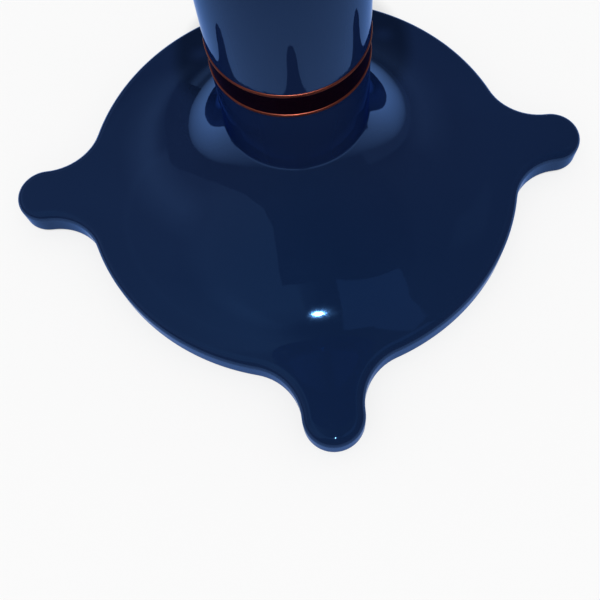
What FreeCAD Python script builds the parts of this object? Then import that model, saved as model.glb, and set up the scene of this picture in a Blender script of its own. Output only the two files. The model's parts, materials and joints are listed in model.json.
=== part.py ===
import FreeCAD, Part
import math
import os
import Sketcher

# Pedestal stand: a trumpet-shaped base with four toes, a tube for a column and a small round flange to
# bolt something on, clamped together by one rod.  Millimetres, +Z up, the floor at Z = 0 under the
# middle of the base.

DRIVING_SIZES = [
    # The base casting
    ("toe_count", 4),
    ("disc_radius", 127),
    ("toe_half_width", 16.6),
    ("toe_blend", 30.6),           # hollow radius where a toe leaves the disc
    ("toe_side", 0.6),             # straight part of a toe's side
    ("rim_gap", 1.0),              # daylight under the rim
    ("rim_top", 16.5),
    ("edge_round", 5),
    ("rim_land", 0.3),             # flat strip between the flare and the rounded edge
    ("neck_radius", 38),
    ("neck_foot", 71.5),           # where the straight neck turns into the flare
    ("throat_round", 6.5),
    ("neck_top", 113.1),
    ("shell_wall", 4),
    ("hollow_radius", 100),        # the underside's hollow, at the rim
    ("web_thickness", 6),
    ("socket_depth", 9),           # the neck's bore above the web
    # The cover under the base
    ("cover_ledge", 10),           # from the hollow out to the cover's edge
    ("cover_thickness", 2),
    ("cover_gap", 0.5),
    ("cover_screw_count", 6),
    ("cover_screw_inset", 5),      # from the cover's edge in to the screws
    ("cover_screw_radius", 1.5),
    ("cover_screw_head", 3),
    ("cover_screw_head_depth", 1.5),
    ("cover_screw_bite", 6),
    # The weight inside the base
    ("ballast_radius", 90),
    ("ballast_thickness", 8),
    ("ballast_lift", 3),           # from the cover up to the weight
    ("ballast_eye", 15),
    ("ballast_bolt_count", 4),
    ("ballast_bolt_circle", 60),
    ("ballast_bolt_radius", 3),
    ("ballast_bolt_head", 5),
    ("ballast_bolt_head_depth", 2.4),
    ("ballast_bolt_bite", 10),
    ("boss_radius", 8),
    # The levelling glides in the toes
    ("glide_well_radius", 11),
    ("glide_well_depth", 5.6),
    ("insert_radius", 5),
    ("insert_length", 5.4),
    ("glide_stud_radius", 3),
    ("glide_stud_length", 5.6),
    ("glide_fit", 0.05),
    ("glide_collar", 5.2),
    ("glide_collar_thickness", 1.8),
    ("glide_pad_radius", 9),
    ("glide_pad_thickness", 4.2),
    ("glide_pad_bevel", 0.8),
    ("glide_pivot_radius", 2.4),
    ("glide_rivet_radius", 4),
    ("glide_rivet_thickness", 1),
    ("glide_rivet_lift", 0.6),     # from the floor up to the riveted end
    ("glide_rivet_gap", 0.4),
    # The band at the neck
    ("trim_thickness", 1.6),
    ("trim_overhang", 0.4),
    ("trim_round", 0.5),
    ("band_height", 12.1),
    # The column
    ("tube_wall", 2),
    ("column_length", 361.6),
    ("spigot_fit", 0.05),
    ("spigot_rise", 30),
    ("plug_depth", 22),
    ("plug_lip", 2),
    ("rod_radius", 5),
    ("rod_gap", 0.5),
    ("rod_spare", 1.5),            # thread beyond a nut
    ("nut_across_corners", 19.6),
    ("nut_height", 8),
    ("washer_radius", 12),
    ("washer_thickness", 2),
    # The flange on top
    ("plug_nut_well_radius", 14),
    ("plug_floor", 6),             # metal left under the nut
    ("flange_radius", 70),
    ("flange_thickness", 8),
    ("flange_round", 1.5),
    ("flange_screw_count", 4),
    ("flange_screw_circle", 25),
    ("flange_screw_radius", 2.5),
    ("flange_screw_head", 5),
    ("flange_screw_head_depth", 2.5),
    ("flange_screw_bite", 9),
    ("mount_hole_count", 4),
    ("mount_hole_circle", 55),
    ("mount_hole_radius", 4.5),
]

SHEET_NAME = "Sizes"


class Size:
    """A length with the expression that gives it, so a shape can be drawn and stay bound to the sheet."""

    def __init__(self, value, text):
        self.value = value
        self.text = text

    @staticmethod
    def of(number):
        return number if isinstance(number, Size) else Size(float(number), repr(float(number)))

    def join(self, other, sign, value):
        return Size(value, f"({self.text} {sign} {Size.of(other).text})")

    def __add__(self, other):
        return self.join(other, "+", self.value + Size.of(other).value)

    def __sub__(self, other):
        return self.join(other, "-", self.value - Size.of(other).value)

    def __mul__(self, other):
        return self.join(other, "*", self.value * Size.of(other).value)

    def __truediv__(self, other):
        return self.join(other, "/", self.value / Size.of(other).value)

    def __neg__(self):
        return Size(-self.value, f"(0 - {self.text})")

    def squared(self):
        return self * self

    def root(self):
        return Size(math.sqrt(self.value), f"sqrt({self.text})")


ZERO = Size.of(0)


def make_sheet(doc):
    """Writes the driving sizes to the sheet and returns them as named Size values."""
    sheet = doc.addObject("Spreadsheet::Sheet", SHEET_NAME)
    sizes = {}
    for row, (alias, number) in enumerate(DRIVING_SIZES, start=1):
        sheet.set(f"A{row}", alias.replace("_", " "))
        sheet.set(f"B{row}", str(number))
        sheet.setAlias(f"B{row}", alias)
        sizes[alias] = Size(float(number), f"{SHEET_NAME}.{alias}")
    doc.recompute()
    return sizes


doc = FreeCAD.newDocument("PedestalStand")
size = make_sheet(doc)
nodes = []


# ---------------------------------------------------------------- helpers

def bind(thing, prop, amount):
    thing.setExpression(prop, Size.of(amount).text)


def add(kind, name, **bound):
    """Adds a document object and binds its sizes."""
    thing = doc.addObject(kind, name)
    for prop, amount in bound.items():
        bind(thing, prop, amount)
    return thing


def lift(thing, height, x=ZERO, y=ZERO):
    """Places an object at a height, and off the axis when x or y is given."""
    bind(thing, "Placement.Base.z", height)
    bind(thing, "Placement.Base.x", x)
    bind(thing, "Placement.Base.y", y)
    return thing


def cylinder(name, radius, low, high, x=ZERO, y=ZERO):
    rod = add("Part::Cylinder", name, Radius=radius, Height=high - low)
    return lift(rod, low, x, y)


def cut(name, base, *tools):
    for number, tool in enumerate(tools, start=1):
        result = doc.addObject("Part::Cut", name if number == len(tools) else f"{name}_step_{number}")
        result.Base = base
        result.Tool = tool
        base = result
    return base


def fuse(name, *shapes):
    result = doc.addObject("Part::MultiFuse", name)
    result.Shapes = list(shapes)
    return result


def group(name, shapes):
    result = doc.addObject("Part::Compound", name)
    result.Links = shapes
    return result


def ring(name, outer, inner, low, high):
    return cut(name, cylinder(name + "_outside", outer, low, high), cylinder(name + "_bore", inner, low, high))


def around(count, circle):
    """Yields a number and a place for each of count things spaced evenly on a circle."""
    total = int(count.value)
    for number in range(total):
        turn = f"(360deg * {number} / {count.text})"
        angle = 2 * math.pi * number / total
        x = Size(circle.value * math.cos(angle), f"({circle.text} * cos{turn})")
        y = Size(circle.value * math.sin(angle), f"({circle.text} * sin{turn})")
        yield number + 1, x, y


def node(thing, label):
    """Registers a finished piece under the name of its node."""
    thing.Label = label
    nodes.append(thing)
    return thing


def plane(body, role):
    return next(feature for feature in body.Origin.OriginFeatures if feature.Role == role)


def sketch_on(body, name, role):
    sketch = body.newObject("Sketcher::SketchObject", name)
    sketch.AttachmentSupport = [(plane(body, role), "")]
    sketch.MapMode = "FlatFace"
    return sketch


def constrain(sketch, kind, *items):
    """Adds a constraint; one that ends in a Size is bound to that size's expression."""
    if not isinstance(items[-1], Size):
        sketch.addConstraint(Sketcher.Constraint(kind, *items))
        return
    index = sketch.addConstraint(Sketcher.Constraint(kind, *items[:-1], items[-1].value))
    sketch.setExpression(f"Constraints[{index}]", items[-1].text)


def pin_point(sketch, edge, end, x, y):
    """Fixes one end of an edge at x, y, measured from the sketch's origin."""
    if x.value == 0:
        constrain(sketch, "PointOnObject", edge, end, -2)
    else:
        constrain(sketch, "DistanceX", -1, 1, edge, end, x)
    if y.value == 0:
        constrain(sketch, "PointOnObject", edge, end, -1)
    else:
        constrain(sketch, "DistanceY", -1, 1, edge, end, y)


def pin_centre(sketch, edge, corner, following):
    """Fixes an arc whose ends are fixed, by the coordinate in which its centre could still slide."""
    steep = abs(following[1].value - corner[1].value) > abs(following[0].value - corner[0].value)
    place = corner[2] if steep else corner[3]
    if place.value == 0:
        constrain(sketch, "PointOnObject", edge, 3, -2 if steep else -1)
    else:
        constrain(sketch, "DistanceX" if steep else "DistanceY", -1, 1, edge, 3, place)


def draw_loop(sketch, corners):
    """Draws a closed outline.  A corner is (x, y) or (x, y, centre x, centre y, way), which makes the
    edge leaving it an arc about that centre, way +1 for anticlockwise and -1 for clockwise."""
    ends = []
    for index, corner in enumerate(corners):
        following = corners[(index + 1) % len(corners)]
        start = FreeCAD.Vector(corner[0].value, corner[1].value, 0)
        finish = FreeCAD.Vector(following[0].value, following[1].value, 0)
        if len(corner) == 2:
            edge = sketch.addGeometry(Part.LineSegment(start, finish))
            ends.append((edge, 1, 2))
            continue
        centre = FreeCAD.Vector(corner[2].value, corner[3].value, 0)
        first, last = (start, finish) if corner[4] > 0 else (finish, start)
        circle = Part.Circle(centre, FreeCAD.Vector(0, 0, 1), start.distanceToPoint(centre))
        from_angle = math.atan2(first.y - centre.y, first.x - centre.x)
        to_angle = math.atan2(last.y - centre.y, last.x - centre.x)
        edge = sketch.addGeometry(Part.ArcOfCircle(circle, from_angle, to_angle))
        ends.append((edge, 1, 2) if corner[4] > 0 else (edge, 2, 1))
    for index, corner in enumerate(corners):
        edge, start_end, finish_end = ends[index]
        next_edge, next_start, _ = ends[(index + 1) % len(ends)]
        constrain(sketch, "Coincident", edge, finish_end, next_edge, next_start)
        pin_point(sketch, edge, start_end, corner[0], corner[1])
        if len(corner) > 2:
            following = corners[(index + 1) % len(corners)]
            pin_centre(sketch, edge, corner, following)
    return sketch


def draw_circle(sketch, radius, x=ZERO, y=ZERO):
    centre = FreeCAD.Vector(x.value, y.value, 0)
    edge = sketch.addGeometry(Part.Circle(centre, FreeCAD.Vector(0, 0, 1), radius.value))
    pin_point(sketch, edge, 3, x, y)
    constrain(sketch, "Radius", edge, radius)
    return sketch


def turn_about_axis(body, kind, name, corners):
    """Revolves (PartDesign::Revolution) or grooves (PartDesign::Groove) an outline about the Z axis."""
    sketch = draw_loop(sketch_on(body, name + "_outline", "XZ_Plane"), corners)
    feature = body.newObject(kind, name)
    feature.Profile = sketch
    feature.ReferenceAxis = (sketch, ["V_Axis"])
    feature.Angle = 360
    sketch.Visibility = False
    return feature


def prism(body, kind, name, draw, low, high):
    """Pads (PartDesign::Pad) or pockets (PartDesign::Pocket) a flat outline between two heights."""
    sketch = sketch_on(body, name + "_outline", "XY_Plane")
    draw(sketch)
    bind(sketch, "AttachmentOffset.Base.z", low)
    feature = body.newObject(kind, name)
    feature.Profile = sketch
    bind(feature, "Length", high - low)
    feature.Reversed = kind == "PartDesign::Pocket"
    sketch.Visibility = False
    return feature


def repeat(body, name, feature, count):
    pattern = body.newObject("PartDesign::PolarPattern", name)
    pattern.Originals = [feature]
    pattern.Axis = (plane(body, "Z_Axis"), [""])
    pattern.Angle = 360
    bind(pattern, "Occurrences", count)
    body.Tip = pattern
    return pattern


def round_edges(body, name, chosen, radius):
    """Fillets the edges of the body's last feature that chosen(edge) accepts."""
    doc.recompute()
    base = body.Tip
    names = [f"Edge{number}" for number, edge in enumerate(base.Shape.Edges, start=1) if chosen(edge)]
    fillet = body.newObject("PartDesign::Fillet", name)
    fillet.Base = (base, names)
    bind(fillet, "Radius", radius)
    return fillet


def drill(body, name, radius, circle, low, high, count):
    """Cuts a round hole upwards from low to high, repeated around the axis."""
    hole = prism(body, "PartDesign::Pocket", name,
                 lambda sketch: draw_circle(sketch, radius, circle), low, high)
    return repeat(body, name + "s", hole, count)


def lies_at(edge, height):
    return abs(edge.BoundBox.ZMin - height.value) < 1e-4 and abs(edge.BoundBox.ZMax - height.value) < 1e-4


# ---------------------------------------------------------------- shared heights and places

web_top = size["neck_top"] - size["socket_depth"]
web_low = web_top - size["web_thickness"]
socket_radius = size["neck_radius"] - size["shell_wall"]

cover_top = size["rim_gap"] + size["cover_thickness"]
cover_radius = size["hollow_radius"] + size["cover_ledge"]
cover_screw_circle = cover_radius - size["cover_screw_inset"]
ballast_low = cover_top + size["ballast_lift"]
ballast_high = ballast_low + size["ballast_thickness"]

band_low = size["neck_top"] + size["trim_thickness"]
band_high = band_low + size["band_height"]
column_low = band_high + size["trim_thickness"]
column_high = column_low + size["column_length"]
plug_high = column_high + size["plug_lip"]
plug_low = column_high - size["plug_depth"]
plug_floor_high = plug_low + size["plug_floor"]
flange_high = plug_high + size["flange_thickness"]

tube_bore = size["neck_radius"] - size["tube_wall"]
spigot_upper = tube_bore - size["spigot_fit"]
rod_hole = size["rod_radius"] + size["rod_gap"]

lower_nut_high = web_low - size["washer_thickness"]
lower_nut_low = lower_nut_high - size["nut_height"]
upper_nut_low = plug_floor_high + size["washer_thickness"]
upper_nut_high = upper_nut_low + size["nut_height"]
rod_low = lower_nut_low - size["rod_spare"]
rod_high = upper_nut_high + size["rod_spare"]

# The flare is two hollow arcs: a small one off the neck and a large one that runs out level with the rim.
throat_x = size["neck_radius"] + size["throat_round"]
flare_x = size["disc_radius"] - size["edge_round"] - size["rim_land"]
flare_run = flare_x - throat_x
flare_drop = size["neck_foot"] - size["rim_top"]
flare_radius = (
    (flare_run.squared() + flare_drop.squared() - size["throat_round"].squared())
    / ((flare_drop - size["throat_round"]) * 2)
)
flare_z = size["rim_top"] + flare_radius
# Where the two arcs meet, on the line through their centres.
throat_share = size["throat_round"] / (flare_radius - size["throat_round"])
meet_x = throat_x - flare_run * throat_share
meet_z = size["neck_foot"] + (size["neck_foot"] - flare_z) * throat_share

inner_flare = flare_radius + size["shell_wall"]


def under_flare(radius_at):
    """Height of the casting's inner face at a distance from the axis."""
    return flare_z - (inner_flare.squared() - (flare_x - radius_at).squared()).root()


# A toe in plan: two hollow blends off the disc and a round end.
blend_y = size["toe_half_width"] + size["toe_blend"]
blend_reach = size["disc_radius"] + size["toe_blend"]
blend_x = (blend_reach.squared() - blend_y.squared()).root()
toe_centre = blend_x + size["toe_side"]
leave_x = blend_x * size["disc_radius"] / blend_reach
leave_y = blend_y * size["disc_radius"] / blend_reach

glide_well_top = size["rim_gap"] + size["glide_well_depth"]
insert_top = glide_well_top + size["insert_length"]


# ---------------------------------------------------------------- the base casting

def toe_outline(sketch):
    width = size["toe_half_width"]
    draw_loop(sketch, [
        (leave_x, -leave_y, blend_x, -blend_y, -1),
        (blend_x, -width),
        (toe_centre, -width, toe_centre, ZERO, 1),
        (toe_centre, width),
        (blend_x, width, blend_x, blend_y, -1),
        (leave_x, leave_y),
    ])


def make_base_shell():
    body = doc.addObject("PartDesign::Body", "base_shell")
    rim_low = size["rim_gap"]
    prism(body, "PartDesign::Pad", "rim_disc",
          lambda sketch: draw_circle(sketch, size["disc_radius"]), rim_low, size["rim_top"])
    toe = prism(body, "PartDesign::Pad", "toe", toe_outline, rim_low, size["rim_top"])
    repeat(body, "toes", toe, size["toe_count"])
    round_edges(body, "rim_rounding", lambda edge: lies_at(edge, size["rim_top"]), size["edge_round"])

    inside_rim = size["rim_top"] - size["edge_round"]
    turn_about_axis(body, "PartDesign::Revolution", "flare", [
        (ZERO, inside_rim),
        (flare_x, inside_rim),
        (flare_x, size["rim_top"], flare_x, flare_z, -1),
        (meet_x, meet_z, throat_x, size["neck_foot"], -1),
        (size["neck_radius"], size["neck_foot"]),
        (size["neck_radius"], size["neck_top"]),
        (ZERO, size["neck_top"]),
    ])
    turn_about_axis(body, "PartDesign::Groove", "hollow", [
        (ZERO, rim_low),
        (cover_radius + size["cover_gap"], rim_low),
        (cover_radius + size["cover_gap"], cover_top),
        (size["hollow_radius"], cover_top),
        (size["hollow_radius"], under_flare(size["hollow_radius"]), flare_x, flare_z, -1),
        (socket_radius, under_flare(socket_radius)),
        (socket_radius, web_low),
        (ZERO, web_low),
    ])
    turn_about_axis(body, "PartDesign::Groove", "socket", [
        (ZERO, web_low),
        (rod_hole, web_low),
        (rod_hole, web_top),
        (socket_radius, web_top),
        (socket_radius, size["neck_top"]),
        (ZERO, size["neck_top"]),
    ])

    def boss_outline(sketch):
        draw_circle(sketch, size["boss_radius"], size["ballast_bolt_circle"])

    boss = prism(body, "PartDesign::Pad", "boss", boss_outline, ballast_high, web_low)
    boss.Type = "UpToFirst"
    repeat(body, "bosses", boss, size["ballast_bolt_count"])
    drill(body, "bolt_hole", size["ballast_bolt_radius"], size["ballast_bolt_circle"],
          ballast_high, ballast_high + size["ballast_bolt_bite"], size["ballast_bolt_count"])
    drill(body, "cover_screw_hole", size["cover_screw_radius"], cover_screw_circle,
          cover_top, cover_top + size["cover_screw_bite"], size["cover_screw_count"])
    drill(body, "glide_well", size["glide_well_radius"], toe_centre,
          rim_low, glide_well_top, size["toe_count"])
    drill(body, "insert_hole", size["insert_radius"], toe_centre,
          glide_well_top, insert_top, size["toe_count"])
    return body


# ---------------------------------------------------------------- under the base

def make_base_cover():
    low, high = size["rim_gap"], cover_top
    disc = cylinder("cover_disc", cover_radius, low, high)
    holes = [
        fuse(f"cover_hole_{number}", *screw_head_and_hole(f"cover_hole_{number}", x, y))
        for number, x, y in around(size["cover_screw_count"], cover_screw_circle)
    ]
    return cut("base_cover", disc, group("cover_holes", holes))


def screw_head_and_hole(name, x, y):
    """The countersunk head and the part of the shank that lie inside the cover."""
    sink = add("Part::Cone", name + "_sink", Radius1=size["cover_screw_head"],
               Radius2=size["cover_screw_radius"], Height=size["cover_screw_head_depth"])
    lift(sink, size["rim_gap"], x, y)
    sunk = size["rim_gap"] + size["cover_screw_head_depth"]
    return sink, cylinder(name + "_shank", size["cover_screw_radius"], sunk, cover_top, x, y)


def make_cover_screws():
    screws = []
    for number, x, y in around(size["cover_screw_count"], cover_screw_circle):
        name = f"cover_screw_{number}"
        bite = cylinder(name + "_bite", size["cover_screw_radius"], cover_top,
                        cover_top + size["cover_screw_bite"], x, y)
        screws.append(fuse(name, *screw_head_and_hole(name, x, y), bite))
    return group("cover_screws", screws)


def make_ballast_plate():
    plate = ring("ballast_disc", size["ballast_radius"], size["ballast_eye"], ballast_low, ballast_high)
    holes = [
        cylinder(f"ballast_hole_{number}", size["ballast_bolt_radius"], ballast_low, ballast_high, x, y)
        for number, x, y in around(size["ballast_bolt_count"], size["ballast_bolt_circle"])
    ]
    return cut("ballast_plate", plate, group("ballast_holes", holes))


def make_ballast_bolts():
    bolts = []
    for number, x, y in around(size["ballast_bolt_count"], size["ballast_bolt_circle"]):
        name = f"ballast_bolt_{number}"
        head = cylinder(name + "_head", size["ballast_bolt_head"],
                        ballast_low - size["ballast_bolt_head_depth"], ballast_low, x, y)
        shank = cylinder(name + "_shank", size["ballast_bolt_radius"],
                         ballast_low, ballast_high + size["ballast_bolt_bite"], x, y)
        bolts.append(fuse(name, head, shank))
    return group("ballast_bolts", bolts)


# ---------------------------------------------------------------- the levelling glides

def make_foot_inserts():
    bore = size["glide_stud_radius"] + size["glide_fit"]
    inserts = [
        cut(f"insert_{number}",
            cylinder(f"insert_{number}_outside", size["insert_radius"], glide_well_top, insert_top, x, y),
            cylinder(f"insert_{number}_bore", bore, glide_well_top, insert_top, x, y))
        for number, x, y in around(size["toe_count"], toe_centre)
    ]
    return group("foot_inserts", inserts)


def make_glide_stud(number, x, y):
    name = f"glide_stud_{number}"
    rivet_high = size["glide_rivet_lift"] + size["glide_rivet_thickness"]
    collar_low = size["glide_pad_thickness"]
    collar_high = collar_low + size["glide_collar_thickness"]
    collar = add("Part::Prism", name + "_collar", Circumradius=size["glide_collar"],
                 Height=size["glide_collar_thickness"])
    collar.Polygon = 6
    return fuse(
        name,
        cylinder(name + "_rivet", size["glide_rivet_radius"], size["glide_rivet_lift"], rivet_high, x, y),
        cylinder(name + "_pivot", size["glide_pivot_radius"], rivet_high, collar_low, x, y),
        lift(collar, collar_low, x, y),
        cylinder(name + "_shank", size["glide_stud_radius"], collar_high,
                 collar_high + size["glide_stud_length"], x, y))


def make_glide_pad(number, x, y):
    name = f"glide_pad_{number}"
    bevel = size["glide_pad_bevel"]
    foot = add("Part::Cone", name + "_bevel", Radius1=size["glide_pad_radius"] - bevel,
               Radius2=size["glide_pad_radius"], Height=bevel)
    disc = fuse(name + "_disc", lift(foot, ZERO, x, y),
                cylinder(name + "_body", size["glide_pad_radius"], bevel, size["glide_pad_thickness"], x, y))
    recess_high = size["glide_rivet_lift"] + size["glide_rivet_thickness"] + size["glide_fit"]
    return cut(
        name, disc,
        cylinder(name + "_recess", size["glide_rivet_radius"] + size["glide_rivet_gap"],
                 ZERO, recess_high, x, y),
        cylinder(name + "_bore", size["glide_pivot_radius"] + size["glide_fit"],
                 recess_high, size["glide_pad_thickness"], x, y))


# ---------------------------------------------------------------- the band at the neck

def make_trim_ring(label, low):
    """A thin ring that stands a little proud, with its outer corners rounded."""
    outer = size["neck_radius"] + size["trim_overhang"]
    high = low + size["trim_thickness"]
    curve = size["trim_round"]
    body = doc.addObject("PartDesign::Body", label)
    turn_about_axis(body, "PartDesign::Revolution", label + "_section", [
        (socket_radius, low),
        (outer - curve, low, outer - curve, low + curve, 1),
        (outer, low + curve),
        (outer, high - curve, outer - curve, high - curve, 1),
        (outer - curve, high),
        (socket_radius, high),
    ])
    return body


# ---------------------------------------------------------------- the column

def make_neck_spigot():
    lower = cylinder("spigot_lower", socket_radius - size["spigot_fit"], web_top, column_low)
    upper = cylinder("spigot_upper", spigot_upper, column_low, column_low + size["spigot_rise"])
    bore = cylinder("spigot_bore", rod_hole, web_top, column_low + size["spigot_rise"])
    return cut("neck_spigot", fuse("spigot_body", lower, upper), bore)


def make_top_plug():
    """A cup that sits in the tube's upper end; the rod's nut is sunk in it, under the flange."""
    body = doc.addObject("PartDesign::Body", "top_plug")
    turn_about_axis(body, "PartDesign::Revolution", "plug_turning", [
        (rod_hole, plug_low),
        (spigot_upper, plug_low),
        (spigot_upper, column_high),
        (size["neck_radius"], column_high),
        (size["neck_radius"], plug_high),
        (size["plug_nut_well_radius"], plug_high),
        (size["plug_nut_well_radius"], plug_floor_high),
        (rod_hole, plug_floor_high),
    ])
    drill(body, "plug_screw_hole", size["flange_screw_radius"], size["flange_screw_circle"],
          plug_high - size["flange_screw_bite"], plug_high, size["flange_screw_count"])
    return body


def make_nut(label, low):
    hexagon = add("Part::Prism", label + "_hexagon", Circumradius=size["nut_across_corners"] / 2,
                  Height=size["nut_height"])
    hexagon.Polygon = 6
    bore = cylinder(label + "_bore", size["rod_radius"], low, low + size["nut_height"])
    return cut(label, lift(hexagon, low), bore)


def make_washer(label, low):
    return ring(label, size["washer_radius"], rod_hole, low, low + size["washer_thickness"])


# ---------------------------------------------------------------- the flange on top

def flange_screw_sink(name, x, y):
    """The countersunk head of a flange screw and its shank down to the plug."""
    head_low = flange_high - size["flange_screw_head_depth"]
    sink = add("Part::Cone", name + "_sink", Radius1=size["flange_screw_radius"],
               Radius2=size["flange_screw_head"], Height=size["flange_screw_head_depth"])
    lift(sink, head_low, x, y)
    return sink, cylinder(name + "_neck", size["flange_screw_radius"], plug_high, head_low, x, y)


def make_top_flange():
    body = doc.addObject("PartDesign::Body", "flange_body")
    prism(body, "PartDesign::Pad", "flange_disc",
          lambda sketch: draw_circle(sketch, size["flange_radius"]), plug_high, flange_high)
    round_edges(body, "flange_rounding",
                lambda edge: lies_at(edge, flange_high) or lies_at(edge, plug_high), size["flange_round"])
    drill(body, "mount_hole", size["mount_hole_radius"], size["mount_hole_circle"],
          plug_high, flange_high, size["mount_hole_count"])
    sinks = [
        fuse(f"flange_sink_{number}", *flange_screw_sink(f"flange_sink_{number}", x, y))
        for number, x, y in around(size["flange_screw_count"], size["flange_screw_circle"])
    ]
    return cut("top_flange", body, group("flange_sinks", sinks))


def make_flange_screws():
    screws = []
    for number, x, y in around(size["flange_screw_count"], size["flange_screw_circle"]):
        name = f"flange_screw_{number}"
        bite = cylinder(name + "_bite", size["flange_screw_radius"],
                        plug_high - size["flange_screw_bite"], plug_high, x, y)
        screws.append(fuse(name, *flange_screw_sink(name, x, y), bite))
    return group("flange_screws", screws)


# ---------------------------------------------------------------- building and writing

def check(document):
    document.recompute()
    for thing in document.Objects:
        bad = [state for state in thing.State if state in ("Invalid", "Error")]
        if bad:
            raise RuntimeError(f"{thing.Label} did not build: {bad}")
    for piece in nodes:
        if piece.Shape.isNull() or not piece.Shape.isValid():
            raise RuntimeError(f"{piece.Label} has no valid shape")


node(make_base_shell(), "base_shell")
node(make_base_cover(), "base_cover")
node(make_cover_screws(), "cover_screws")
node(make_ballast_plate(), "ballast_plate")
node(make_ballast_bolts(), "ballast_bolts")
node(make_foot_inserts(), "foot_inserts")
for number, x, y in around(size["toe_count"], toe_centre):
    node(make_glide_pad(number, x, y), f"glide_pad_{number}")
    node(make_glide_stud(number, x, y), f"glide_stud_{number}")
node(make_trim_ring("lower_trim_ring", size["neck_top"]), "lower_trim_ring")
node(ring("neck_band", size["neck_radius"], socket_radius, band_low, band_high), "neck_band")
node(make_trim_ring("upper_trim_ring", band_high), "upper_trim_ring")
node(make_neck_spigot(), "neck_spigot")
node(ring("column_tube", size["neck_radius"], tube_bore, column_low, column_high), "column_tube")
node(cylinder("tie_rod", size["rod_radius"], rod_low, rod_high), "tie_rod")
node(make_nut("lower_nut", lower_nut_low), "lower_nut")
node(make_washer("lower_washer", lower_nut_high), "lower_washer")
node(make_top_plug(), "top_plug")
node(make_washer("upper_washer", plug_floor_high), "upper_washer")
node(make_nut("upper_nut", upper_nut_low), "upper_nut")
node(make_top_flange(), "top_flange")
node(make_flange_screws(), "flange_screws")

check(doc)
os.makedirs("parts", exist_ok=True)
for piece in nodes:
    piece.Shape.exportStep(f"parts/{piece.Label}.step")
    box = piece.Shape.BoundBox
    print(f"{piece.Label:18} solids {len(piece.Shape.Solids)}  volume {piece.Shape.Volume:10.1f}  "
          f"Z {box.ZMin:7.2f} to {box.ZMax:7.2f}  width {box.XLength:6.2f}")
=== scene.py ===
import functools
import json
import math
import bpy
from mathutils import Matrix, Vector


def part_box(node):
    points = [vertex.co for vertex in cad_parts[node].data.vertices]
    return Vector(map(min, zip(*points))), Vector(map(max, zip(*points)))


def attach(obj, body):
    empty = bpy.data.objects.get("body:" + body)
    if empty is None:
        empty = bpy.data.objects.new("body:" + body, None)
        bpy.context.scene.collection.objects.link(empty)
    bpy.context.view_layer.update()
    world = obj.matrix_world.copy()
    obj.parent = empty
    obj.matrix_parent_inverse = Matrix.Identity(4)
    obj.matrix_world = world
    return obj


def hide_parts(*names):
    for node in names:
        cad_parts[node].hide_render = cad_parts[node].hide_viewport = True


bl_info = {
    "name": "Pedestal stand",
    "version": (1, 0, 0),
    "blender": (4, 5, 0),
    "location": "View3D > Sidebar > Pedestal",
    "description": "Dresses a lacquered pedestal stand: trumpet base, neck band, column, flange and glides",
    "category": "Add Mesh",
}

import bmesh
import bpy
from bpy.props import (
    FloatProperty,
    FloatVectorProperty,
    IntProperty,
    PointerProperty,
)
from mathutils import Matrix, Vector

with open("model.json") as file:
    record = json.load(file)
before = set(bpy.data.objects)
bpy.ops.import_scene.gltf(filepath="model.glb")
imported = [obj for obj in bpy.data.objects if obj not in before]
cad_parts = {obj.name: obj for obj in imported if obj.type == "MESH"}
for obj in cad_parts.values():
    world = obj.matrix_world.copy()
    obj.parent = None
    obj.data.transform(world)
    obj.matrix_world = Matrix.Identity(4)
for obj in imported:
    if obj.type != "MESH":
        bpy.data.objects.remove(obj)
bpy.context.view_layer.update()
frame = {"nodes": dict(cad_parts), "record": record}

STAND = "stand"                       # the body that everything but the glides belongs to
MM = 0.001                            # a millimetre of the record in the scene's metres
WELD = 1e-7                           # vertices closer than this become one
ON_AXIS = 1e-9                        # a smaller radius than this lies on the axis
SHARP_ANGLE = math.radians(35)        # edges that turn by more than this stay sharp
HOLE_COLUMNS = 64                     # divisions round a bolt hole or a glide's well
SINK_COLUMNS = 48                     # round a screw's sink in the flange
PAD_COLUMNS = 72                      # round a glide pad
BLACK = (0, 0, 0, 1)


# ------------------------ what the frame says

def low(node):
    """Height of a node's underside."""
    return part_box(node)[0].z


def high(node):
    """Height of a node's upper side."""
    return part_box(node)[1].z


def half_width(node):
    """Half of a node's width along X, which is the radius of a turned piece."""
    lowest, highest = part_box(node)
    return (highest.x - lowest.x) / 2


def middle(node):
    """Where a node stands on the floor, as x and y."""
    lowest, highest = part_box(node)
    return (lowest.x + highest.x) / 2, (lowest.y + highest.y) / 2


TOE_NUMBERS = [
    name.rsplit("_", 1)[1] for name in sorted(frame["nodes"]) if name.startswith("glide_pad_")
]


def length(name, description, default):
    return FloatProperty(
        name=name, description=description, default=default, subtype="DISTANCE", unit="LENGTH")


def amount(name, description, default):
    return FloatProperty(name=name, description=description, default=default)


def bearing(name, description, degrees):
    return FloatProperty(name=name, description=description, default=math.radians(degrees), subtype="ANGLE")


def colour(name, description, default):
    return FloatVectorProperty(
        name=name, description=description, default=default, subtype="COLOR", size=3, min=0, max=1)


# ------------------------ settings

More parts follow.
